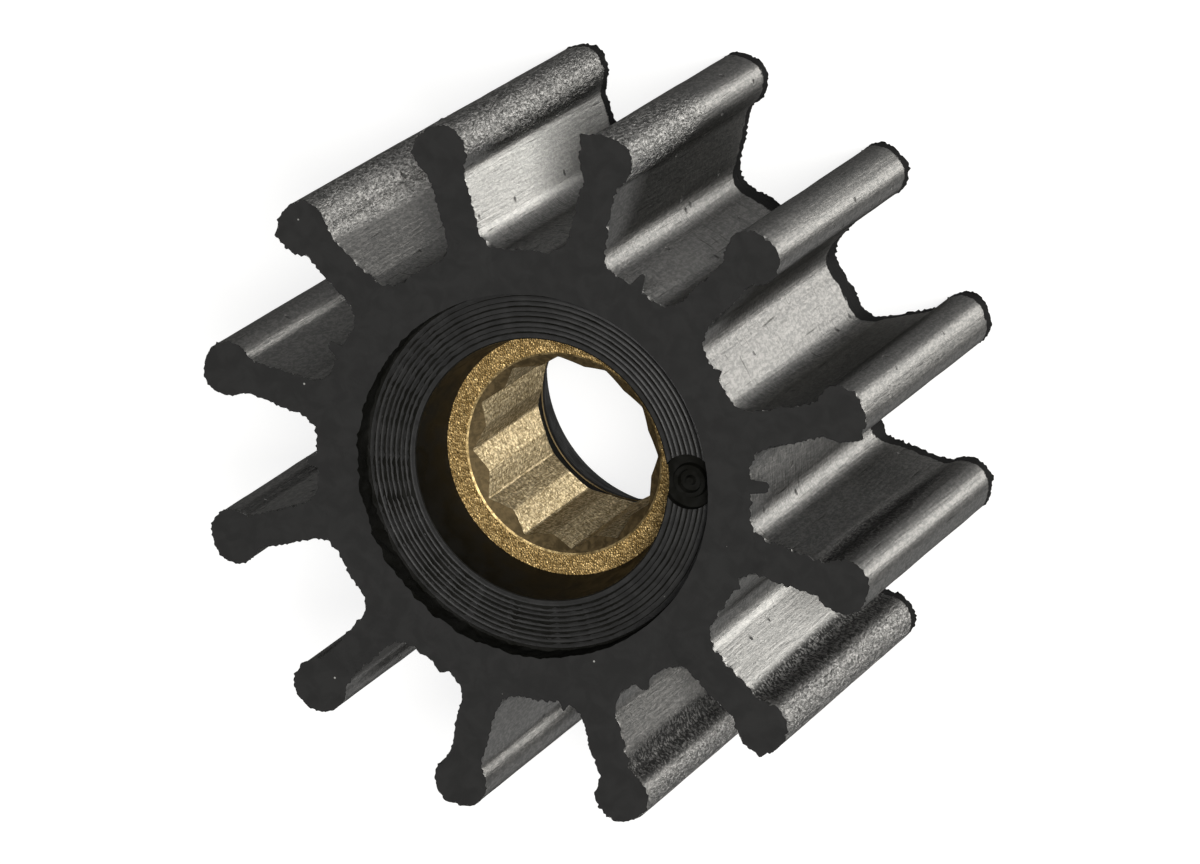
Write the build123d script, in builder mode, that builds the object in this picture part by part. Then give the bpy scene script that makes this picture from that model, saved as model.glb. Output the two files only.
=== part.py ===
from build123d import *
import math
import os

# Flexible impeller of a marine pump: a rubber hub with radial blades, moulded round a bronze insert.
# Millimetres. Z is the shaft axis. The drive-side end face is at z = 0, and the impeller stands on it.
# The cover-side end face, with the recess and the pocket for the mould mark, is on top.

# Rubber body
impeller_diameter = 57.2
impeller_width = 30.8
hub_diameter = 36.5

# Blades: each is a web that thins outward and ends in a rounded bead, slightly flattened at the tip
blade_count = 12
first_blade_angle = 15.0
web_root_thickness = 3.2
web_tip_thickness = 2.6
bead_diameter = 4.4
bead_flattening = 0.15
bead_neck_radius = 1.2
blade_root_radius = 2.0

# Recess in the cover-side face, inside the rim of the hub
hub_rim_width = 3.55
recess_depth = 2.0

# Round pocket in the recess floor, where the mould leaves its mark
mark_diameter = 4.4
mark_depth = 0.6
mark_rim_gap = 0.15

# Bore: straight-sided points all round, with a lead-in cone that opens a little past them at each end
spline_points = 12
spline_major_diameter = 15.7
spline_depth = 0.7
spline_turn = 2.5
lead_in_clearance = 0.35
lead_in_angle = 45.0

# Bronze insert, set back from both end faces
insert_wall = 2.65
cover_setback = 6.85
drive_setback = 7.2

# Grooves round the insert, which the rubber fills
groove_count = 2
groove_width = 2.0
groove_depth = 0.6

# Rubber lips over the ends of the insert, and the flare from each lip to its mouth
cover_lip_overlap = 0.6
drive_lip_overlap = 2.2
cover_flare_angle = 8.0
drive_flare_angle = 20.0

# Sizes that follow from the ones above
tip_radius = impeller_diameter / 2
hub_radius = hub_diameter / 2
bead_centre_radius = tip_radius - bead_diameter / 2 + bead_flattening
recess_radius = hub_radius - hub_rim_width
recess_floor = impeller_width - recess_depth
insert_diameter = spline_major_diameter + 2 * insert_wall
insert_bottom = drive_setback
insert_top = impeller_width - cover_setback
insert_length = insert_top - insert_bottom
lead_in_radius = spline_major_diameter / 2 + lead_in_clearance
lead_in_reach = lead_in_radius / math.tan(math.radians(lead_in_angle))
cover_lip_radius = insert_diameter / 2 - cover_lip_overlap
drive_lip_radius = insert_diameter / 2 - drive_lip_overlap
cover_mouth_radius = cover_lip_radius + (recess_floor - insert_top) * math.tan(math.radians(cover_flare_angle))
drive_mouth_radius = drive_lip_radius + insert_bottom * math.tan(math.radians(drive_flare_angle))
root_gap = 2 * math.pi * hub_radius / blade_count - web_root_thickness
root_fillet_limit = 0.45 * root_gap


def polar_point(radius, degrees):
    angle = math.radians(degrees)
    return (radius * math.cos(angle), radius * math.sin(angle))


def web_corners():
    # Flat sides of one blade along +X, from inside the rim of the hub to the middle of its bead
    web_start = hub_radius - hub_rim_width / 2
    return [
        (web_start, -web_root_thickness / 2),
        (bead_centre_radius, -web_tip_thickness / 2),
        (bead_centre_radius, web_tip_thickness / 2),
        (web_start, web_root_thickness / 2),
    ]


def spline_corners():
    # Corners alternate between the major and the minor diameter
    major_radius = spline_major_diameter / 2
    minor_radius = major_radius - spline_depth
    step = 180 / spline_points
    corners = []
    for point in range(spline_points):
        corners.append(polar_point(major_radius, spline_turn + 2 * point * step))
        corners.append(polar_point(minor_radius, spline_turn + (2 * point + 1) * step))
    return corners


def groove_heights():
    # Middle heights of the grooves, evenly spaced along the insert
    spacing = insert_length / (groove_count + 1)
    return [insert_bottom + spacing * (number + 1) for number in range(groove_count)]


def insert_envelope():
    # Outside of the insert as a solid of revolution: the insert fills it and the rubber is moulded round it
    outer = insert_diameter / 2
    with BuildPart() as envelope:
        with BuildSketch(Plane.XZ):
            with Locations((0, insert_bottom)):
                Rectangle(outer, insert_length, align=(Align.MIN, Align.MIN))
            for height in groove_heights():
                with Locations((outer, height)):
                    Rectangle(groove_depth, groove_width, align=(Align.MAX, Align.CENTER), mode=Mode.SUBTRACT)
        revolve(axis=Axis.Z)
    return envelope.part


# Rubber body: hub, blades and beads in one outline, run along the whole width
with BuildPart() as rubber_body:
    with BuildSketch() as outline:
        Circle(hub_radius)
        with PolarLocations(0, blade_count, start_angle=first_blade_angle):
            Polygon(web_corners())
        with PolarLocations(bead_centre_radius, blade_count, start_angle=first_blade_angle):
            Circle(bead_diameter / 2)
        Circle(tip_radius, mode=Mode.INTERSECT)
    extrude(amount=impeller_width)
    # Inner corners that run along the blades: those nearest the axis are the roots, the next the necks
    corners = rubber_body.edges().filter_by(Axis.Z).group_by(SortBy.DISTANCE)
    roots = corners[0]
    necks = corners[1]
    fillet(necks, bead_neck_radius)
    fillet(roots, min(blade_root_radius, root_fillet_limit))
    # Stepped bore through the rubber: recess, cover-side flare, seat of the insert, drive-side flare
    with BuildSketch(Plane.XZ):
        Polygon(
            (0, 0),
            (drive_mouth_radius, 0),
            (drive_lip_radius, insert_bottom),
            (cover_lip_radius, insert_top),
            (cover_mouth_radius, recess_floor),
            (recess_radius, recess_floor),
            (recess_radius, impeller_width),
            (0, impeller_width),
        )
    revolve(axis=Axis.Z, mode=Mode.SUBTRACT)
    add(insert_envelope(), mode=Mode.SUBTRACT)
    # Pocket for the mould mark, close inside the rim
    with BuildSketch(Plane.XY.offset(recess_floor)):
        with Locations((recess_radius - mark_rim_gap - mark_diameter / 2, 0)):
            Circle(mark_diameter / 2)
    extrude(amount=-mark_depth, mode=Mode.SUBTRACT)

# Bronze insert: its envelope, opened by the splined bore and a lead-in cone at each end
with BuildPart() as splined_insert:
    add(insert_envelope())
    with BuildSketch(Plane.XY.offset(insert_bottom)):
        Polygon(spline_corners())
    extrude(amount=insert_length, mode=Mode.SUBTRACT)
    # The cones run to their points on the axis, and cut only the ends of the spline
    with BuildSketch(Plane.XZ):
        Polygon((0, insert_bottom), (lead_in_radius, insert_bottom), (0, insert_bottom + lead_in_reach))
        Polygon((0, insert_top), (lead_in_radius, insert_top), (0, insert_top - lead_in_reach))
    revolve(axis=Axis.Z, mode=Mode.SUBTRACT)

rubber_body.part.label = "rubber_body"
splined_insert.part.label = "splined_insert"

os.makedirs("parts", exist_ok=True)
export_step(rubber_body.part, "parts/rubber_body.step")
export_step(splined_insert.part, "parts/splined_insert.step")
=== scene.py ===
import math

import bmesh
import bpy
from mathutils import Matrix, Vector, noise


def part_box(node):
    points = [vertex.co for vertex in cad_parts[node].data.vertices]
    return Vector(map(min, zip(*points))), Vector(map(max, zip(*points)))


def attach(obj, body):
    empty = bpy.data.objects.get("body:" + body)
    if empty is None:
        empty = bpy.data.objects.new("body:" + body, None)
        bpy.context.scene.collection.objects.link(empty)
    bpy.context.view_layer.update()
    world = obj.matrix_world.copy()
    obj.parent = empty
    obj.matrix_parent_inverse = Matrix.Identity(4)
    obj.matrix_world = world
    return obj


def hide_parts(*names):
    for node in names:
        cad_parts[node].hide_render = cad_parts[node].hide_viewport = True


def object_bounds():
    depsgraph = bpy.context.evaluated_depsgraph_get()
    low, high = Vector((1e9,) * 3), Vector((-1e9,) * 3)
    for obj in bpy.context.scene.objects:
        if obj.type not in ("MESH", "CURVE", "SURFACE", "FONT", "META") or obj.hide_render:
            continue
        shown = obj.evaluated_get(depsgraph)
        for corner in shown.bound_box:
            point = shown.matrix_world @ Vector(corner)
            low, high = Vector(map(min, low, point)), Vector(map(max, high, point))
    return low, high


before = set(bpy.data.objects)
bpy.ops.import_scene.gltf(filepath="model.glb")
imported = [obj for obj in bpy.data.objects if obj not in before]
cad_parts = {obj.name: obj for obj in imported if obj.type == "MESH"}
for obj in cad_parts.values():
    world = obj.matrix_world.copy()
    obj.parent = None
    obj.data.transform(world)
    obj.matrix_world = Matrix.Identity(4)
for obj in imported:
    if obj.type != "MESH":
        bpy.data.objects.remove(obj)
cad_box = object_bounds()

MM = 0.001

# Rubber moulding. The frame gives its width; the outline repeats the part's own driving sizes.
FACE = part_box("rubber_body")[1][2]
BLADES = 12
FIRST_BLADE = math.radians(15)
HALF_PITCH = math.pi / BLADES
HUB_RADIUS = 18.25 * MM
TIP_RADIUS = 28.6 * MM
WEB_START = 16.475 * MM
WEB_ROOT = 3.2 * MM
WEB_TIP = 2.6 * MM
BEAD_RADIUS = 2.2 * MM
BEAD_CENTRE = 26.55 * MM
BEAD_FLATTENING = 0.15 * MM
NECK_RADIUS = 1.2 * MM
ROOT_RADIUS = 2.0 * MM

# Stepped bore of the rubber
RECESS_RADIUS = 14.7 * MM
RECESS_FLOOR = FACE - 2.0 * MM
# Depths in mm below the cover side's face at which the recess wall is drawn
RECESS_WALL_DEPTHS = (0.0, 0.2, 0.6, 1.0, 1.4, 1.75)
COVER_LIP = 9.9 * MM
DRIVE_LIP = 8.3 * MM
COVER_MOUTH = 10.58 * MM
DRIVE_MOUTH = 10.92 * MM
RIDGES = 8
RIDGE_PITCH = 0.42 * MM
RIDGE_HEIGHT = 0.045 * MM
OUTER_RIDGE = RECESS_RADIUS - 0.38 * MM
# The flare of the drive side is slightly rippled: depth of a ripple, and how many of its steps make one
RIPPLE_DEPTH = 0.06 * MM
RIPPLE_STEPS = 6
POCKET_CENTRE = 12.35 * MM
POCKET_FLOOR = RECESS_FLOOR - 0.6 * MM
# The pocket's outline from its middle outward, in mm: radius, and height above its floor
POCKET_STEPS = (
    (0.3, 0.4), (0.42, 0.0), (0.85, 0.0), (0.97, 0.4), (1.3, 0.4), (1.42, 0.0), (2.2, 0.0), (2.26, 1.6),
)

# Bronze insert
SEAT_RADIUS, _, INSERT_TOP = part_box("splined_insert")[1]
INSERT_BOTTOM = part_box("splined_insert")[0][2]
LEAD_IN_RADIUS = 8.2 * MM
EDGE_BREAK = 0.16 * MM
EDGE_DEPTH = 0.07 * MM
# The drive end opens deeper: a steep cone, a short counterbore, and a rubbed ledge at its mouth
DRIVE_CONE_TOP = INSERT_BOTTOM + 4.6 * MM
DRIVE_CONE_FOOT = INSERT_BOTTOM + 1.6 * MM
DRIVE_COUNTERBORE = 8.34 * MM
DRIVE_LEDGE = 8.25 * MM
LEDGE_TOP = INSERT_BOTTOM + 0.45 * MM
LEDGE_FOOT = INSERT_BOTTOM + 0.4 * MM
SPLINE_POINTS = 12
SPLINE_MAJOR = 7.85 * MM
SPLINE_MINOR = 7.15 * MM
SPLINE_TURN = math.radians(2.5)
CREST_HALF_ANGLE = math.radians(0.55)
# The tools that open the ends start well inside the spline and run this far past the ends
TOOL_CORE = SPLINE_MINOR - 0.6 * MM
TOOL_OVERRUN = 1.0 * MM

# How finely the meshes are divided
OUTLINE_STEP = 0.17 * MM
SKIN_LAYERS = 16
EDGE_LAYERS = [0.0, 0.12 * MM, 0.28 * MM, 0.6 * MM]
BORE_TURNS = 320
RECESS_STEPS = 60
COVER_FLARE_STEPS = 10
DRIVE_FLARE_STEPS = 48
POCKET_TURNS = 72
INSERT_TURNS = 240
INSERT_LEVELS = 6

# The moulded side is a little wavy: noise for each mm, and height
SKIN_WAVES = ((0.23, 0.03 * MM), (0.9, 0.012 * MM))
# Its torn trimming edge: how far it goes down from an end face, and how far it reaches out
TEAR_DEPTH = 0.25 * MM
TEAR_REACH = 0.2 * MM
# The recess wall is torn where the mould parted: everywhere, and deepest around one azimuth, in mm
WALL_TEARS = 0.03
DEEP_WALL_TEARS = 0.2
DEEP_TEAR_AZIMUTH = math.radians(215)
# Flash left on the trimmed face: azimuth in degrees, length and half width in mm, and how square its end is
FLASH_TABS = (
    (1.8, 1.4, 0.55, 6), (59.8, 1.5, 0.55, 1.5), (31, 0.5, 0.4, 1.5),
    (-24, 0.45, 0.6, 2), (-61, 0.7, 0.7, 2), (-83, 0.7, 0.4, 2),
    (150.6, 1.1, 0.5, 5), (180.4, 0.9, 0.45, 6), (-117, 0.35, 0.7, 1.5),
)
TIP_SPIKES = (
    (78.9, 1.0, 0.35, 0.6), (10.9, 0.35, 0.3, 1.2), (-48.5, 0.3, 0.3, 1.2), (139.0, 0.3, 0.4, 1.2),
)


# Points and outlines


def arc(centre, radius, start, end, step):
    """Points along an arc, both ends included."""
    count = max(2, math.ceil(abs(end - start) * radius / step))
    angles = [start + (end - start) * n / count for n in range(count + 1)]
    return [Vector((centre[0] + radius * math.cos(a), centre[1] + radius * math.sin(a))) for a in angles]


def straight(start, end, step):
    """Points along a straight line, both ends included."""
    count = max(1, math.ceil((end - start).length / step))
    return [start.lerp(end, n / count) for n in range(count + 1)]


def heading(vector):
    """Azimuth of a vector in the plane."""
    return math.atan2(vector.y, vector.x)


def fillet_centre(on_line, along, side, radius, circle, reach, beyond):
    """Centre of a fillet that touches a line and a circle, at the given reach from the circle's centre."""
    offset = on_line + side * radius - circle
    half = offset.dot(along)
    root = math.sqrt(half * half - offset.dot(offset) + reach * reach)
    return circle + offset + along * (root - half if beyond else -root - half)


def bead_point(spoke):
    """The bead is a little flat at its tip, and comes into that flat without a corner."""
    angle = heading(spoke)
    if abs(angle) > math.pi / 4:
        return spoke
    return spoke * (1 - BEAD_FLATTENING / BEAD_RADIUS * math.cos(2 * angle) ** 2)


def half_blade():
    """One side of a blade that lies along +X, from the middle of the valley to the middle of its tip."""
    root_end = Vector((WEB_START, WEB_ROOT / 2))
    bead = Vector((BEAD_CENTRE, 0))
    along = (Vector((BEAD_CENTRE, WEB_TIP / 2)) - root_end).normalized()
    side = Vector((-along.y, along.x))
    root = fillet_centre(root_end, along, side, ROOT_RADIUS, Vector((0, 0)), HUB_RADIUS + ROOT_RADIUS, True)
    neck = fillet_centre(root_end, along, side, NECK_RADIUS, bead, BEAD_RADIUS + NECK_RADIUS, False)
    web_side = heading(-side) % math.tau
    points = arc((0, 0), HUB_RADIUS, HALF_PITCH, heading(root), OUTLINE_STEP)
    points += arc(root, ROOT_RADIUS, heading(-root) % math.tau, web_side, OUTLINE_STEP)[1:]
    points += straight(root - side * ROOT_RADIUS, neck - side * NECK_RADIUS, OUTLINE_STEP)[1:]
    points += arc(neck, NECK_RADIUS, web_side, heading(bead - neck) % math.tau, OUTLINE_STEP)[1:]
    tip = arc(bead, BEAD_RADIUS, heading(neck - bead), 0, OUTLINE_STEP)[1:]
    return points + [bead_point(p - bead) + bead for p in tip]


def body_outline():
    """The outline of hub and blades, counter-clockwise, with the outward normal at each point."""
    half = half_blade()
    blade = [Vector((p.x, -p.y)) for p in half] + half[-2:0:-1]
    points = []
    for number in range(BLADES):
        turn = Matrix.Rotation(FIRST_BLADE + number * 2 * HALF_PITCH, 2)
        points += [turn @ p for p in blade]
    normals = []
    for n, p in enumerate(points):
        chord = points[(n + 1) % len(points)] - points[n - 1]
        normals.append(Vector((chord.y, -chord.x)).normalized())
    return points, normals


def layer_heights():
    """Heights of the skin's layers: close together at both trimmed faces, wide apart between them."""
    inset = EDGE_LAYERS[-1]
    span = FACE - 2 * inset
    between = [inset + span * n / SKIN_LAYERS for n in range(1, SKIN_LAYERS)]
    return EDGE_LAYERS + between + [FACE - z for z in reversed(EDGE_LAYERS)]


def flash(p, from_face):
    """How far the flash of the cover side reaches out here: tabs on the hub, and thin spikes at the tips."""
    if from_face > TEAR_DEPTH:
        return 0.0
    tabs = ()
    if p.length < HUB_RADIUS + 0.5 * MM:
        tabs = FLASH_TABS
    elif p.length > BEAD_CENTRE:
        tabs = TIP_SPIKES
    reach = 0.0
    for azimuth, length, half_width, squareness in tabs:
        turned = (heading(p) - math.radians(azimuth) + math.pi) % math.tau - math.pi
        across = abs(turned) * p.length / (half_width * MM)
        if across < 1:
            reach += length * MM * (1 - across ** squareness)
    return reach


def skin_point(p, normal, z):
    """A point of the moulded side: slightly wavy, with a torn edge where the flash was trimmed off."""
    from_face = FACE - z
    from_end = min(z, from_face)
    place = Vector((p.x, p.y, z)) / MM
    moved = sum(wave * noise.noise(place * scale) for scale, wave in SKIN_WAVES)
    if from_end < TEAR_DEPTH:
        teeth = 0.35 - 1.6 * abs(noise.noise(place * 1.7))
        ragged = 0.7 * noise.noise(place * 0.6) + 0.9 * noise.noise(place * 4.3) + teeth
        moved += TEAR_REACH * ragged * (1 - from_end / TEAR_DEPTH)
    moved += flash(p, from_face)
    q = p + normal * moved
    if q.length > TIP_RADIUS:
        q *= TIP_RADIUS / q.length
    far = cad_box[1][0]
    return (max(-far, min(far, q.x)), max(-far, min(far, q.y)), z)


def ridge(radius):
    """Height of the fine rings moulded into the recess floor."""
    inner = OUTER_RIDGE - RIDGES * RIDGE_PITCH
    if radius < inner or radius > OUTER_RIDGE:
        return 0.0
    phase = (OUTER_RIDGE - radius) / RIDGE_PITCH
    return RIDGE_HEIGHT * 0.5 * (1 - math.cos(math.tau * phase))


def bore_profile():
    """Radius and height down the inside of the rubber, from the recess rim to the drive-side mouth."""
    profile = [(RECESS_RADIUS, FACE - depth * MM) for depth in RECESS_WALL_DEPTHS]
    profile.append((RECESS_RADIUS - 0.06 * MM, RECESS_FLOOR + 0.05 * MM))
    start = RECESS_RADIUS - 0.2 * MM
    span = start - COVER_MOUTH - 0.12 * MM
    for n in range(RECESS_STEPS + 1):
        radius = start - span * n / RECESS_STEPS
        profile.append((radius, RECESS_FLOOR + ridge(radius)))
    profile.append((COVER_MOUTH + 0.03 * MM, RECESS_FLOOR - 0.03 * MM))
    rounded = 0.15 * MM
    for n in range(1, COVER_FLARE_STEPS + 1):
        profile.append((
            COVER_MOUTH + (COVER_LIP - COVER_MOUTH) * n / COVER_FLARE_STEPS,
            RECESS_FLOOR - rounded + (INSERT_TOP - RECESS_FLOOR + rounded) * n / COVER_FLARE_STEPS,
        ))
    profile += [(SEAT_RADIUS, INSERT_TOP), (SEAT_RADIUS, INSERT_BOTTOM), (DRIVE_LIP, INSERT_BOTTOM)]
    for n in range(1, DRIVE_FLARE_STEPS + 1):
        ripple = RIPPLE_DEPTH * (1 - math.cos(math.tau * n / RIPPLE_STEPS)) * 0.5
        radius = DRIVE_LIP + (DRIVE_MOUTH - DRIVE_LIP) * n / DRIVE_FLARE_STEPS
        profile.append((radius - ripple, INSERT_BOTTOM * (1 - n / DRIVE_FLARE_STEPS)))
    return profile


def recess_wall_point(radius, angle, z):
    """A point of the recess wall, rough all round and torn on one side."""
    on_rim = Vector((math.cos(angle), math.sin(angle))) * RECESS_RADIUS
    place = Vector((on_rim.x, on_rim.y, z)) / MM
    torn = WALL_TEARS + DEEP_WALL_TEARS * max(0.0, math.cos(angle - DEEP_TEAR_AZIMUTH)) ** 0.7
    ragged = noise.noise(place) + 0.9 * noise.noise(place * 2.4)
    r = radius + torn * MM * (ragged + 0.35)
    return (r * math.cos(angle), r * math.sin(angle), z)


# Mesh helpers


def ring_of(mesh, points):
    """New corners of the mesh at these points."""
    return [mesh.verts.new(p) for p in points]


def bridge(mesh, lower, upper, surface):
    """A band of faces between two rings of corners."""
    faces = []
    for n in range(len(lower)):
        m = (n + 1) % len(lower)
        face = mesh.faces.new((lower[n], lower[m], upper[m], upper[n]))
        face.material_index = surface
        faces.append(face)
    return faces


def circle_points(radius, z, turns, centre=0.0):
    """Points of a level circle, whose centre may lie off the axis along +X."""
    angles = [math.tau * n / turns for n in range(turns)]
    return [(centre + radius * math.cos(a), radius * math.sin(a), z) for a in angles]


def cap(mesh, rings, surface):
    """Fills the flat between an outer and an inner ring, or inside one ring."""
    edges = [mesh.edges.get((ring[n - 1], ring[n])) for ring in rings for n in range(len(ring))]
    made = bmesh.ops.triangle_fill(mesh, use_beauty=True, edges=edges)["geom"]
    for face in made:
        if isinstance(face, bmesh.types.BMFace):
            face.material_index = surface


def object_from(mesh, name):
    """Turns the mesh into an object of the scene."""
    bmesh.ops.recalc_face_normals(mesh, faces=mesh.faces)
    data = bpy.data.meshes.new(name)
    mesh.to_mesh(data)
    mesh.free()
    piece = bpy.data.objects.new(name, data)
    bpy.context.scene.collection.objects.link(piece)
    return piece


def smooth(piece, angle):
    """Shades the piece smooth, with edges sharper than the angle in degrees left sharp."""
    piece.data.polygons.foreach_set("use_smooth", [True] * len(piece.data.polygons))
    piece.data.set_sharp_from_angle(angle=math.radians(angle))


def combine(piece, other, operation):
    """Cuts the other shape out of the piece, or joins it on, for good."""
    modifier = piece.modifiers.new("combine", "BOOLEAN")
    modifier.object = other
    modifier.operation = operation
    modifier.solver = "EXACT"
    shaped = bpy.data.meshes.new_from_object(piece.evaluated_get(bpy.context.evaluated_depsgraph_get()))
    piece.modifiers.clear()
    piece.data = shaped
    bpy.data.objects.remove(other)


# Rubber body

SKIN, TRIMMED, RECESS, HOLLOW_SHADE = range(4)


def side_skin(mesh):
    """The moulded side of hub and blades, with a map that runs around it and along it."""
    around = mesh.loops.layers.uv.new("around")
    outline, normals = body_outline()
    heights = layer_heights()
    layers = [ring_of(mesh, [skin_point(p, v, z) for p, v in zip(outline, normals)]) for z in heights]
    lengths = [0.0]
    for n, p in enumerate(outline):
        lengths.append(lengths[-1] + (outline[(n + 1) % len(outline)] - p).length)
    for k in range(len(layers) - 1):
        for n, face in enumerate(bridge(mesh, layers[k], layers[k + 1], SKIN)):
            corners = ((n, k), (n + 1, k), (n + 1, k + 1), (n, k + 1))
            for loop, (u, v) in zip(face.loops, corners):
                loop[around].uv = (lengths[u] / FACE, heights[v] / FACE)
    return layers[0], layers[-1]


def stepped_bore(mesh):
    """The recess, its floor with the fine rings, the seat of the insert and the two flares."""
    wall_foot = RECESS_FLOOR + 0.04 * MM
    floor_edge = RECESS_FLOOR - 0.01 * MM
    rings = []
    for radius, z in bore_profile():
        if z > wall_foot:
            points = [recess_wall_point(radius, math.tau * n / BORE_TURNS, z) for n in range(BORE_TURNS)]
        else:
            points = circle_points(radius, z, BORE_TURNS)
        rings.append((ring_of(mesh, points), z))
    for (upper, upper_z), (lower, lower_z) in zip(rings, rings[1:]):
        wall = lower_z < floor_edge or upper_z > wall_foot
        # Walls take the darker rubber: painted shade in the hollows
        bridge(mesh, upper, lower, HOLLOW_SHADE if wall else RECESS)
    return rings[0][0], rings[-1][0]


def pocket_tool():
    """The shape of the round pocket in the recess floor. It leaves a low ring and a dot standing."""
    mesh = bmesh.new()
    rings = []
    for radius, height in POCKET_STEPS:
        points = circle_points(radius * MM, POCKET_FLOOR + height * MM, POCKET_TURNS, POCKET_CENTRE)
        rings.append(ring_of(mesh, points))
    for lower, upper in zip(rings, rings[1:]):
        # The pocket takes the darker rubber: painted shade
        bridge(mesh, lower, upper, HOLLOW_SHADE)
    mesh.faces.new(rings[0][::-1]).material_index = HOLLOW_SHADE
    mesh.faces.new(rings[-1]).material_index = HOLLOW_SHADE
    return object_from(mesh, "pocket_tool")


def make_rubber_body():
    """The rubber moulding: its side, its stepped bore and its two trimmed faces."""
    mesh = bmesh.new()
    drive_outline, cover_outline = side_skin(mesh)
    cover_rim, drive_rim = stepped_bore(mesh)
    cap(mesh, (cover_outline, cover_rim), TRIMMED)
    cap(mesh, (drive_outline, drive_rim), TRIMMED)
    piece = object_from(mesh, "rubber_body_moulding")
    combine(piece, pocket_tool(), "DIFFERENCE")
    smooth(piece, 38)
    for material in (moulded_skin(), trimmed_rubber(), recess_rubber(), hollow_shade_rubber()):
        piece.data.materials.append(material)
    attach(piece, "root")
    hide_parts("rubber_body")


# Bronze insert

PRESSED_END, BROACHED, LEAD_IN, EDGE_HIGHLIGHT, COUNTERBORE_SHADE = range(5)


def spline_points(z):
    """The twelve-pointed bore, its crests and roots a touch blunt."""
    points = []
    for n in range(2 * SPLINE_POINTS):
        radius = SPLINE_MINOR if n % 2 else SPLINE_MAJOR
        middle = SPLINE_TURN + math.pi * n / SPLINE_POINTS
        for angle in (middle - CREST_HALF_ANGLE, middle + CREST_HALF_ANGLE):
            points.append((radius * math.cos(angle), radius * math.sin(angle), z))
    return points


def opening_tool(steps, surfaces):
    """A turned shape that opens one end of the splined bore."""
    mesh = bmesh.new()
    rings = [ring_of(mesh, circle_points(radius, z, INSERT_TURNS)) for radius, z in steps]
    for lower, upper, surface in zip(rings, rings[1:], surfaces):
        bridge(mesh, lower, upper, surface)
    mesh.faces.new(rings[0][::-1]).material_index = LEAD_IN
    mesh.faces.new(rings[-1]).material_index = LEAD_IN
    return object_from(mesh, "opening_tool")


def cover_lead_in():
    """The cone at the cover end, with a small edge break at its mouth that is made bright as a painted
    highlight.
    """
    mouth = LEAD_IN_RADIUS + EDGE_BREAK - EDGE_DEPTH
    steps = (
        (TOOL_CORE, INSERT_TOP - (LEAD_IN_RADIUS - TOOL_CORE)),
        (LEAD_IN_RADIUS - EDGE_DEPTH, INSERT_TOP - EDGE_DEPTH),
        (mouth, INSERT_TOP),
        (mouth, INSERT_TOP + TOOL_OVERRUN),
    )
    return opening_tool(steps, (LEAD_IN, EDGE_HIGHLIGHT, EDGE_HIGHLIGHT))


def drive_lead_in():
    """The cone at the drive end, above a counterbore and a bronze ledge; the counterbore wall and the
    ledge's inner wall take near-black rubber as painted shade under the spline ends.
    """
    steps = (
        (TOOL_CORE, DRIVE_CONE_TOP),
        (DRIVE_COUNTERBORE, DRIVE_CONE_FOOT),
        (DRIVE_COUNTERBORE, LEDGE_TOP),
        (DRIVE_LEDGE, LEDGE_FOOT),
        (DRIVE_LEDGE, INSERT_BOTTOM - TOOL_OVERRUN),
    )
    # Near-black rubber on the counterbore and the ledge's inner wall: painted shade
    return opening_tool(steps, (LEAD_IN, COUNTERBORE_SHADE, LEAD_IN, COUNTERBORE_SHADE))


def make_splined_insert():
    """The bronze insert: a ring with the splined bore, opened at both ends."""
    mesh = bmesh.new()
    length = INSERT_TOP - INSERT_BOTTOM
    heights = [INSERT_BOTTOM + length * n / INSERT_LEVELS for n in range(INSERT_LEVELS + 1)]
    outer = [ring_of(mesh, circle_points(SEAT_RADIUS, z, INSERT_TURNS)) for z in (INSERT_BOTTOM, INSERT_TOP)]
    bridge(mesh, outer[0], outer[1], PRESSED_END)
    stars = [ring_of(mesh, spline_points(z)) for z in heights]
    for lower, upper in zip(stars, stars[1:]):
        bridge(mesh, lower, upper, BROACHED)
    cap(mesh, (outer[0], stars[0]), PRESSED_END)
    cap(mesh, (outer[1], stars[-1]), PRESSED_END)
    piece = object_from(mesh, "splined_bronze_insert")
    combine(piece, cover_lead_in(), "DIFFERENCE")
    combine(piece, drive_lead_in(), "DIFFERENCE")
    smooth(piece, 18)
    for material in (pressed_bronze(), broached_bronze(), dull_bronze(), edge_bronze_painted_highlight(), hollow_shade_rubber()):
        piece.data.materials.append(material)
    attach(piece, "root")
    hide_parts("splined_insert")


# Node helpers


def add(tree, kind, inputs=None, **settings):
    """Adds a node, sets it up, and wires or fills its inputs."""
    made = tree.nodes.new(kind)
    for name, value in settings.items():
        setattr(made, name, value)
    for name, value in (inputs or {}).items():
        if isinstance(value, bpy.types.NodeSocket):
            tree.links.new(value, made.inputs[name])
        else:
            made.inputs[name].default_value = value
    return made


def math_node(tree, operation, first, second=0.0, third=0.0):
    """One step of arithmetic on numbers or sockets."""
    return add(tree, "ShaderNodeMath", {0: first, 1: second, 2: third}, operation=operation).outputs[0]


def multiply(tree, first, second):
    return math_node(tree, "MULTIPLY", first, second)


def multiply_add(tree, value, factor, base):
    """value * factor + base"""
    return math_node(tree, "MULTIPLY_ADD", value, factor, base)


def larger(tree, first, second):
    return math_node(tree, "MAXIMUM", first, second)


def ramp(tree, value, low, high, out_low=0.0, out_high=1.0):
    """A smooth step of the value from low to high."""
    node = add(tree, "ShaderNodeMapRange", {"Value": value}, interpolation_type="SMOOTHSTEP")
    for name, number in (("From Min", low), ("From Max", high), ("To Min", out_low), ("To Max", out_high)):
        node.inputs[name].default_value = number
    return node.outputs[0]


def stretch(tree, vector, factors):
    """Scales a place along each axis, so that what is drawn with it shrinks by the same factors."""
    return add(tree, "ShaderNodeVectorMath", {0: vector, 1: factors}, operation="MULTIPLY").outputs[0]


def noise_node(tree, vector, scale, detail, roughness, distortion=0.0):
    """Soft noise around one half, with the scale in waves for each mm."""
    node = add(tree, "ShaderNodeTexNoise", {"Vector": vector, "Scale": scale, "Detail": detail})
    node.inputs["Roughness"].default_value = roughness
    node.inputs["Distortion"].default_value = distortion
    return node.outputs[0]


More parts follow.
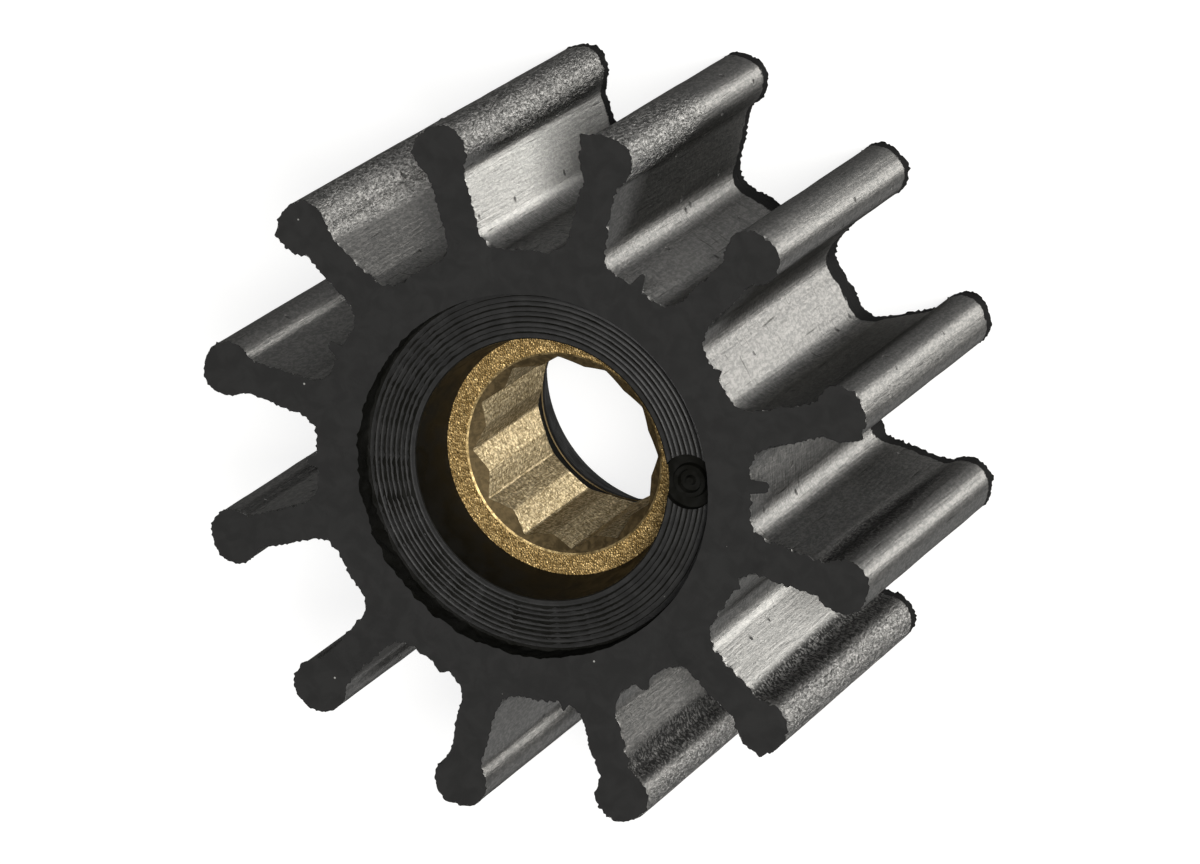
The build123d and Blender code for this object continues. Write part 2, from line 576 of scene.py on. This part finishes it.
def cell_node(tree, vector, scale):
    """Irregular cells: the node, and three random numbers for each cell."""
    cells = add(tree, "ShaderNodeTexVoronoi", {"Vector": vector, "Scale": scale})
    return cells, add(tree, "ShaderNodeSeparateColor", {"Color": cells.outputs["Color"]}).outputs


def colour_mix(tree, factor, first, second):
    """A colour between the first and the second, each a colour or a socket."""
    node = add(tree, "ShaderNodeMix", data_type="RGBA")
    for socket, value in zip((node.inputs[0], node.inputs[6], node.inputs[7]), (factor, first, second)):
        if isinstance(value, bpy.types.NodeSocket):
            tree.links.new(value, socket)
        elif isinstance(value, float):
            socket.default_value = value
        else:
            socket.default_value = (*value, 1.0)
    return node.outputs[2]


def new_group(name, inputs, outputs):
    """A node group with named number or vector inputs and number outputs."""
    tree = bpy.data.node_groups.new(name, "ShaderNodeTree")
    for label, default in inputs:
        kind = "NodeSocketFloat" if isinstance(default, float) else "NodeSocketVector"
        socket = tree.interface.new_socket(label, in_out="INPUT", socket_type=kind)
        if isinstance(default, float):
            socket.default_value = default
    for label in outputs:
        tree.interface.new_socket(label, in_out="OUTPUT", socket_type="NodeSocketFloat")
    return tree, tree.nodes.new("NodeGroupInput").outputs, tree.nodes.new("NodeGroupOutput").inputs


def use(tree, group, **inputs):
    """Places a group in a material with this material's own values."""
    values = {name.replace("_", " "): value for name, value in inputs.items()}
    node = add(tree, "ShaderNodeGroup", node_tree=group)
    for name, value in values.items():
        if isinstance(value, bpy.types.NodeSocket):
            tree.links.new(value, node.inputs[name])
        else:
            node.inputs[name].default_value = value
    return node.outputs


def make_grain_group():
    """Fine grain over a coarser mottle, as a height in millimetres and a mottle mask."""
    tree, given, made = new_group(
        "surface grain", (("Position", None), ("Grain Size", 0.2), ("Mottle Size", 1.0), ("Depth", 0.01)),
        ("Height", "Mottle"))
    fine_scale = math_node(tree, "DIVIDE", 1.0, given["Grain Size"])
    wide_scale = math_node(tree, "DIVIDE", 1.0, given["Mottle Size"])
    fine = noise_node(tree, given["Position"], fine_scale, 3.0, 0.6)
    wide = noise_node(tree, given["Position"], wide_scale, 3.0, 0.55, 0.6)
    both = multiply_add(tree, fine, 0.6, multiply(tree, wide, 0.8))
    tree.links.new(multiply(tree, both, given["Depth"]), made["Height"])
    tree.links.new(ramp(tree, wide, 0.35, 0.68), made["Mottle"])
    return tree


def make_pit_group():
    """Scattered small pits or specks: a mask that is 1 inside them."""
    tree, given, made = new_group(
        "scattered pits", (("Position", None), ("Spacing", 1.0), ("Share", 0.2), ("Size", 0.25)), ("Pits",))
    scale = math_node(tree, "DIVIDE", 1.0, given["Spacing"])
    cells, lots = cell_node(tree, given["Position"], scale)
    chosen = math_node(tree, "LESS_THAN", lots[0], given["Share"])
    away = math_node(tree, "DIVIDE", cells.outputs["Distance"], given["Size"])
    inside = larger(tree, math_node(tree, "SUBTRACT", 1.0, away), 0.0)
    tree.links.new(multiply(tree, chosen, math_node(tree, "POWER", inside, 0.5)), made["Pits"])
    return tree


def make_line_group():
    """Fine lines across and along the axis, as two masks around one half."""
    tree, given, made = new_group(
        "fine lines", (("Position", None), ("Across", 0.2), ("Along", 0.2)), ("Across Lines", "Along Lines"))
    across_scale = math_node(tree, "DIVIDE", 1.0, given["Across"])
    along_scale = math_node(tree, "DIVIDE", 1.0, given["Along"])
    wide = stretch(tree, given["Position"], (0.07, 0.07, 1.0))
    tall = stretch(tree, given["Position"], (1.0, 1.0, 0.05))
    tree.links.new(noise_node(tree, wide, across_scale, 3.0, 0.6, 0.3), made["Across Lines"])
    tree.links.new(noise_node(tree, tall, along_scale, 2.0, 0.5, 0.1), made["Along Lines"])
    return tree


# Node groups and materials, with sizes in mm
GRAIN = make_grain_group()
PITS = make_pit_group()
LINES = make_line_group()


def material_base(name, specular_level, metallic=0.0):
    """A material with its shader, and its place on the object in millimetres."""
    material = bpy.data.materials.new(name)
    material.use_nodes = True
    tree = material.node_tree
    shader = tree.nodes["Principled BSDF"]
    shader.inputs["Specular IOR Level"].default_value = specular_level
    shader.inputs["IOR"].default_value = 1.5
    shader.inputs["Metallic"].default_value = metallic
    place = stretch(tree, add(tree, "ShaderNodeTexCoord").outputs["Object"], (1 / MM, 1 / MM, 1 / MM))
    return material, tree, shader, place


def axes(tree, place):
    """Height above the drive face and distance from the axis, in millimetres."""
    parts = add(tree, "ShaderNodeSeparateXYZ", {0: place}).outputs
    flat = stretch(tree, place, (1.0, 1.0, 0.0))
    radius = add(tree, "ShaderNodeVectorMath", {0: flat}, operation="LENGTH").outputs["Value"]
    return parts["Z"], radius


def bump(tree, shader, height):
    """Raises the surface by a height in millimetres."""
    node = add(tree, "ShaderNodeBump", {"Height": height, "Distance": MM})
    tree.links.new(node.outputs[0], shader.inputs["Normal"])


def near_columns(tree, place, columns, inner, outer):
    """A mask around upright columns: 1 within the inner distance, fading to 0 at the outer one."""
    nearest = None
    for x, y, low, high in columns:
        middle = Vector((x, y, (low + high) / 2))
        offset = add(tree, "ShaderNodeVectorMath", {0: place, 1: middle}, operation="SUBTRACT").outputs[0]
        offset = stretch(tree, offset, (1.0, 1.0, 2 * inner / (high - low)))
        distance = add(tree, "ShaderNodeVectorMath", {0: offset}, operation="LENGTH").outputs["Value"]
        nearest = distance if nearest is None else math_node(tree, "MINIMUM", nearest, distance)
    return ramp(tree, nearest, outer, inner)


# Columns of the skin where its film is crinkled, where it is pitted and blackened with painted shade in the
# necks, and where it is lightened as a painted sheen: middle x and y, foot and top, in mm
CRINKLED = (
    (-6.9, 26.6, -10, 40), (-18.8, 18.8, -10, 40), (8.0, 26.4, 18, 44),
    (19.6, -19.6, -10, 40), (7.1, -26.6, -10, 40),
)
# Three blade necks, pitted and also blackened as painted shade in the concave neck
PITTED_AND_SHADED_NECKS = ((24.8, -5.2, 9, 34), (18.6, -16.8, -4, 36), (8.2, -23.2, 8, 34))
# Two flanks where the film is lightened as a painted sheen
SHEEN_PAINTED_FLANKS = ((-4.3, 21.6, -20, 50), (16.6, -14.5, -20, 50))


# Colours of the film in its darker and lighter flecks: plain, crinkled, and lightened as a painted sheen on
# two flanks
PLAIN_FILM = (0.22, 0.22, 0.215), (0.32, 0.315, 0.305)
CRINKLED_FILM = (0.17, 0.17, 0.165), (0.40, 0.395, 0.385)
PAINTED_SHEEN_FILM = (0.38, 0.38, 0.37), (0.48, 0.475, 0.46)
DARK_MARKS = (0.10, 0.10, 0.095)
# Black of bare rubber, also used as painted shade at the foot and in the necks
BARE_AND_SHADED_RUBBER = (0.008, 0.008, 0.008)


def drawn_gloss(tree, shader, strength, **tangent):
    """Gloss that is spread along the axis, as on a surface drawn that way."""
    shader.inputs["Anisotropic"].default_value = strength
    shader.inputs["Anisotropic Rotation"].default_value = 0.25
    tree.links.new(add(tree, "ShaderNodeTangent", **tangent).outputs[0], shader.inputs["Tangent"])


def moulded_skin():
    """Moulded rubber of the blades and hub, under a silvery release film that is dragged along the axis."""
    material, tree, shader, place = material_base("moulded rubber skin", 0.5)
    drawn_gloss(tree, shader, 0.99, direction_type="UV_MAP", uv_map="around")
    shader.inputs["Specular Tint"].default_value = (0.35, 0.35, 0.35, 1.0)
    z, radius = axes(tree, place)
    grain = use(tree, GRAIN, Position=place, Grain_Size=0.11, Mottle_Size=0.7, Depth=0.012)
    lines = use(tree, LINES, Position=place, Across=0.2, Along=0.22)
    across, along = lines["Across Lines"], lines["Along Lines"]

    # Where the film is crinkled, where it is lightened as a painted sheen, where it is pitted and darkened
    # with painted shade, and the valleys between the blades
    crinkled = near_columns(tree, place, CRINKLED, 2.2, 3.4)
    painted_sheen = near_columns(tree, place, SHEEN_PAINTED_FLANKS, 2.2, 3.6)
    blotches = ramp(tree, noise_node(tree, place, 3.2, 3.0, 0.7, 0.4), 0.42, 0.54, 0.45, 1.0)
    # Pitted necks: real pits, with painted shade blackening the neck
    pitted_and_shaded = multiply(tree, near_columns(tree, place, PITTED_AND_SHADED_NECKS, 1.0, 1.9), blotches)
    pits = use(tree, PITS, Position=place, Spacing=1.3, Share=0.08, Size=0.22)["Pits"]
    valley = multiply(tree, ramp(tree, radius, 20.0, 18.4), ramp(tree, z, 6.0, 22.0, 0.35, 1.0))

    # Relief, in mm: grain, lines dragged across the valleys, creases, lines along the axis, and pits
    creases = noise_node(tree, stretch(tree, place, (1.1, 1.1, 0.5)), 2.6, 3.0, 0.6, 1.2)
    creases = multiply(tree, creases, multiply_add(tree, crinkled, 0.18, 0.02))
    dragged = multiply(tree, across, multiply(tree, valley, 0.1))
    height = math_node(tree, "ADD", grain["Height"], dragged)
    height = math_node(tree, "ADD", height, creases)
    height = multiply_add(tree, along, 0.02, height)
    height = multiply_add(tree, pits, -0.08, height)
    bump(tree, shader, multiply_add(tree, pitted_and_shaded, -0.07, height))

    # Black bare rubber: a ragged rim at the drive side, widened into the valleys as painted shade at the
    # foot, and the pits, with painted shade in the pitted necks
    wander = noise_node(tree, place, 1.3, 4.0, 0.65)
    rim_top = multiply_add(tree, wander, 1.5, ramp(tree, radius, 20.5, 18.4, 0.45, 1.6))
    rim = ramp(tree, math_node(tree, "SUBTRACT", z, rim_top), 0.1, -0.1)
    pits_and_neck_shade = larger(tree, multiply(tree, pits, 0.8), multiply(tree, pitted_and_shaded, 0.95))
    bare_and_shaded = larger(tree, rim, pits_and_neck_shade)
    tree.links.new(math_node(tree, "SUBTRACT", 1.0, bare_and_shaded), shader.inputs["Metallic"])

    # Colour and gloss of the film
    flecks = noise_node(tree, stretch(tree, place, (1.0, 1.0, 0.45)), 4.2, 3.0, 0.65, 0.5)
    flecks = ramp(tree, flecks, 0.4, 0.62)
    film = colour_mix(tree, flecks, *PLAIN_FILM)
    film = colour_mix(tree, crinkled, film, colour_mix(tree, flecks, *CRINKLED_FILM))
    # Lighter film on two flanks: a painted sheen
    film = colour_mix(tree, painted_sheen, film, colour_mix(tree, flecks, *PAINTED_SHEEN_FILM))
    unmarked = larger(tree, ramp(tree, across, 0.28, 0.4), ramp(tree, valley, 0.6, 0.2))
    unmarked = multiply(tree, unmarked, ramp(tree, along, 0.2, 0.36))
    film = colour_mix(tree, unmarked, DARK_MARKS, film)
    tree.links.new(colour_mix(tree, bare_and_shaded, film, BARE_AND_SHADED_RUBBER), shader.inputs["Base Color"])
    rough = multiply_add(tree, grain["Mottle"], 0.05, 0.56)
    tree.links.new(larger(tree, rough, multiply(tree, rim, 0.9)), shader.inputs["Roughness"])
    return material


def trimmed_rubber():
    """Matte black end faces, cut flat, with a little pale dust in the grain."""
    material, tree, shader, place = material_base("trimmed rubber face", 0.2)
    grain = use(tree, GRAIN, Position=place, Grain_Size=0.12, Mottle_Size=1.6, Depth=0.02)
    dust = use(tree, PITS, Position=place, Spacing=1.6, Share=0.14, Size=0.06)["Pits"]
    black = colour_mix(tree, grain["Mottle"], (0.018, 0.018, 0.018), (0.024, 0.024, 0.024))
    tree.links.new(colour_mix(tree, dust, black, (0.45, 0.45, 0.43)), shader.inputs["Base Color"])
    tree.links.new(multiply_add(tree, grain["Mottle"], 0.1, 0.8), shader.inputs["Roughness"])
    bump(tree, shader, grain["Height"])
    return material


def recess_rubber():
    """The recess floor: black rubber with a slight shine on its fine rings."""
    material, tree, shader, place = material_base("recess rubber", 0.5)
    grain = use(tree, GRAIN, Position=place, Grain_Size=0.14, Mottle_Size=1.1, Depth=0.016)
    dust = use(tree, PITS, Position=place, Spacing=2.0, Share=0.08, Size=0.05)["Pits"]
    black = colour_mix(tree, grain["Mottle"], (0.017, 0.017, 0.017), (0.023, 0.023, 0.023))
    tree.links.new(colour_mix(tree, dust, black, (0.4, 0.4, 0.38)), shader.inputs["Base Color"])
    tree.links.new(multiply_add(tree, grain["Mottle"], 0.05, 0.38), shader.inputs["Roughness"])
    bump(tree, shader, grain["Height"])
    return material


def hollow_shade_rubber():
    """Near-black walls of the recess and of the mouths either side of the insert, and the pocket: the same
    rubber made darker than the floor and faces, as painted shade in these hollows.
    """
    material, tree, shader, place = material_base("rubber in painted hollow shade", 0.1)
    grain = use(tree, GRAIN, Position=place, Grain_Size=0.25, Mottle_Size=1.5, Depth=0.012)
    black = colour_mix(tree, grain["Mottle"], (0.004, 0.004, 0.003), (0.008, 0.008, 0.007))
    tree.links.new(black, shader.inputs["Base Color"])
    tree.links.new(multiply_add(tree, grain["Mottle"], 0.15, 0.46), shader.inputs["Roughness"])
    bump(tree, shader, grain["Height"])
    return material


def pressed_bronze():
    """Granular pressed end face of the insert, each grain catching the light in its own way."""
    material, tree, shader, place = material_base("pressed bronze", 0.5, metallic=1.0)
    cells, lots = cell_node(tree, place, 6.5)
    pores = use(tree, PITS, Position=place, Spacing=0.7, Share=0.12, Size=0.16)["Pits"]
    grain = use(tree, GRAIN, Position=place, Grain_Size=0.09, Mottle_Size=0.9, Depth=0.02)
    gold = colour_mix(tree, math_node(tree, "POWER", lots[0], 1.8), (0.26, 0.17, 0.06), (0.92, 0.68, 0.32))
    gold = colour_mix(tree, multiply(tree, grain["Mottle"], 0.35), gold, (0.22, 0.14, 0.05))
    tree.links.new(colour_mix(tree, pores, gold, (0.06, 0.04, 0.02)), shader.inputs["Base Color"])
    tree.links.new(multiply_add(tree, lots[1], 0.25, 0.5), shader.inputs["Roughness"])
    height = multiply_add(tree, cells.outputs["Distance"], -0.07, grain["Height"])
    bump(tree, shader, multiply_add(tree, pores, -0.05, height))
    return material


def broached_bronze():
    """Spline flanks, drawn along the axis by the broach, with the metal's own grain still in them."""
    material, tree, shader, place = material_base("broached bronze", 0.5, metallic=1.0)
    drawn_gloss(tree, shader, 0.88, direction_type="RADIAL", axis="Z")
    lines = use(tree, LINES, Position=place, Across=0.3, Along=0.13)
    grain = use(tree, GRAIN, Position=place, Grain_Size=0.1, Mottle_Size=0.28, Depth=0.03)
    _, lots = cell_node(tree, stretch(tree, place, (1.0, 1.0, 0.6)), 7.0)
    streaks = ramp(tree, lines["Along Lines"], 0.38, 0.62)
    gold = colour_mix(tree, streaks, (0.32, 0.25, 0.13), (0.58, 0.47, 0.29))
    gold = colour_mix(tree, math_node(tree, "POWER", lots[0], 1.6), gold, (1.0, 0.86, 0.58))
    gold = colour_mix(tree, multiply(tree, grain["Mottle"], 0.75), gold, (0.16, 0.12, 0.06))
    tree.links.new(gold, shader.inputs["Base Color"])
    tree.links.new(multiply_add(tree, streaks, -0.1, 0.72), shader.inputs["Roughness"])
    bump(tree, shader, multiply_add(tree, lines["Along Lines"], 0.03, grain["Height"]))
    return material


def dull_bronze():
    """The lead-in cones, in a darker and rougher bronze than the rest."""
    material, tree, shader, place = material_base("dull bronze", 0.5, metallic=1.0)
    grain = use(tree, GRAIN, Position=place, Grain_Size=0.1, Mottle_Size=0.5, Depth=0.02)
    brown = colour_mix(tree, grain["Mottle"], (0.14, 0.105, 0.055), (0.24, 0.18, 0.095))
    tree.links.new(brown, shader.inputs["Base Color"])
    tree.links.new(multiply_add(tree, grain["Mottle"], 0.1, 0.66), shader.inputs["Roughness"])
    bump(tree, shader, grain["Height"])
    return material


def edge_bronze_painted_highlight():
    """The broken edge of the lead-in, made bright as a painted highlight line."""
    material, tree, shader, place = material_base("bronze edge with painted highlight", 0.5, metallic=1.0)
    shader.inputs["Roughness"].default_value = 0.55
    grain = use(tree, GRAIN, Position=place, Grain_Size=0.12, Mottle_Size=0.6, Depth=0.04)
    gold = colour_mix(tree, grain["Mottle"], (0.25, 0.18, 0.08), (0.75, 0.57, 0.28))
    tree.links.new(gold, shader.inputs["Base Color"])
    bump(tree, shader, grain["Height"])
    return material


# Studio

# The camera stands where the photograph's own perspective puts it
LENS = 210.5
CAMERA_AZIMUTH = 36.60
CAMERA_ELEVATION = 63.78
CAMERA_DISTANCE = 562.0 * MM
CAMERA_ROLL = math.radians(-125.22)
AIM = Vector((-0.23, -0.46, 15.4)) * MM

# Lamps: name, azimuth and elevation in degrees, distance, width and height in metres, power in watts, colour
WHITE = (1.0, 1.0, 1.0)
LAMPS = (
    ("soft key", 21, 61, 2.0, 0.6, 0.6, 38, (1.0, 0.98, 0.94)),
    ("soft top", 60, 78, 2.0, 1.0, 1.0, 6, WHITE),
    ("soft fill", -42, 28, 2.0, 1.2, 0.8, 5, WHITE),
)
SKY_STRENGTH = 0.06

# Floor, in metres, and how much white of its own it shows to the camera and in reflections
FLOOR_HALF_SIZE = 1.5
FLOOR_GREY = 0.3
WHITE_SEEN = 0.8
WHITE_MIRRORED = 0.2


def direction(azimuth, elevation):
    """Unit vector towards an azimuth and elevation in degrees."""
    around, up = math.radians(azimuth), math.radians(elevation)
    return Vector((math.cos(around) * math.cos(up), math.sin(around) * math.cos(up), math.sin(up)))


def looking_back(azimuth, elevation, distance, aim=Vector((0, 0, 0))):
    """A place at this distance from the aim, turned to look back at it."""
    towards = direction(azimuth, elevation)
    turned = towards.to_track_quat("Z", "Y").to_matrix().to_4x4()
    return Matrix.Translation(aim + towards * distance) @ turned


def place_camera():
    """The camera, set where it sees the part as the photograph does."""
    data = bpy.data.cameras.new("camera")
    data.lens = LENS
    camera = bpy.data.objects.new("camera", data)
    turned = Matrix.Rotation(CAMERA_ROLL, 4, "Z")
    camera.matrix_world = looking_back(CAMERA_AZIMUTH, CAMERA_ELEVATION, CAMERA_DISTANCE, AIM) @ turned
    bpy.context.scene.collection.objects.link(camera)
    bpy.context.scene.camera = camera


def place_lamp(name, azimuth, elevation, distance, width, height, power, colour):
    """One soft rectangular lamp, turned to the part."""
    data = bpy.data.lights.new(name, "AREA")
    data.shape = "RECTANGLE"
    data.size = width
    data.size_y = height
    data.energy = power
    data.color = colour
    lamp = bpy.data.objects.new(name, data)
    lamp.matrix_world = looking_back(azimuth, elevation, distance)
    bpy.context.scene.collection.objects.link(lamp)


def paper_white():
    """Floor that takes a shadow, and shows a part of its white only to the camera and in reflections."""
    material = bpy.data.materials.new("paper floor")
    material.use_nodes = True
    tree = material.node_tree
    shader = tree.nodes["Principled BSDF"]
    shader.inputs["Base Color"].default_value = (FLOOR_GREY, FLOOR_GREY, FLOOR_GREY, 1)
    shader.inputs["Roughness"].default_value = 1.0
    shader.inputs["Specular IOR Level"].default_value = 0.0
    shader.inputs["Emission Color"].default_value = (1, 1, 1, 1)
    ray = add(tree, "ShaderNodeLightPath").outputs
    mirrored = math_node(tree, "ADD", ray["Is Glossy Ray"], ray["Is Transmission Ray"])
    white = multiply_add(tree, ray["Is Camera Ray"], WHITE_SEEN, multiply(tree, mirrored, WHITE_MIRRORED))
    tree.links.new(white, shader.inputs["Emission Strength"])
    return material


def make_floor():
    """The floor that the part stands on."""
    mesh = bmesh.new()
    bmesh.ops.create_grid(mesh, x_segments=2, y_segments=2, size=FLOOR_HALF_SIZE)
    floor = object_from(mesh, "floor")
    floor.data.materials.append(paper_white())


def light_studio():
    """An even sky and the three lamps."""
    world = bpy.data.worlds.new("studio")
    bpy.context.scene.world = world
    world.use_nodes = True
    sky = world.node_tree.nodes["Background"].inputs
    sky["Color"].default_value = (1, 1, 1, 1)
    sky["Strength"].default_value = SKY_STRENGTH
    for lamp in LAMPS:
        place_lamp(*lamp)


make_rubber_body()
make_splined_insert()
make_floor()
light_studio()
place_camera()
bpy.context.scene.view_settings.view_transform = "Standard"
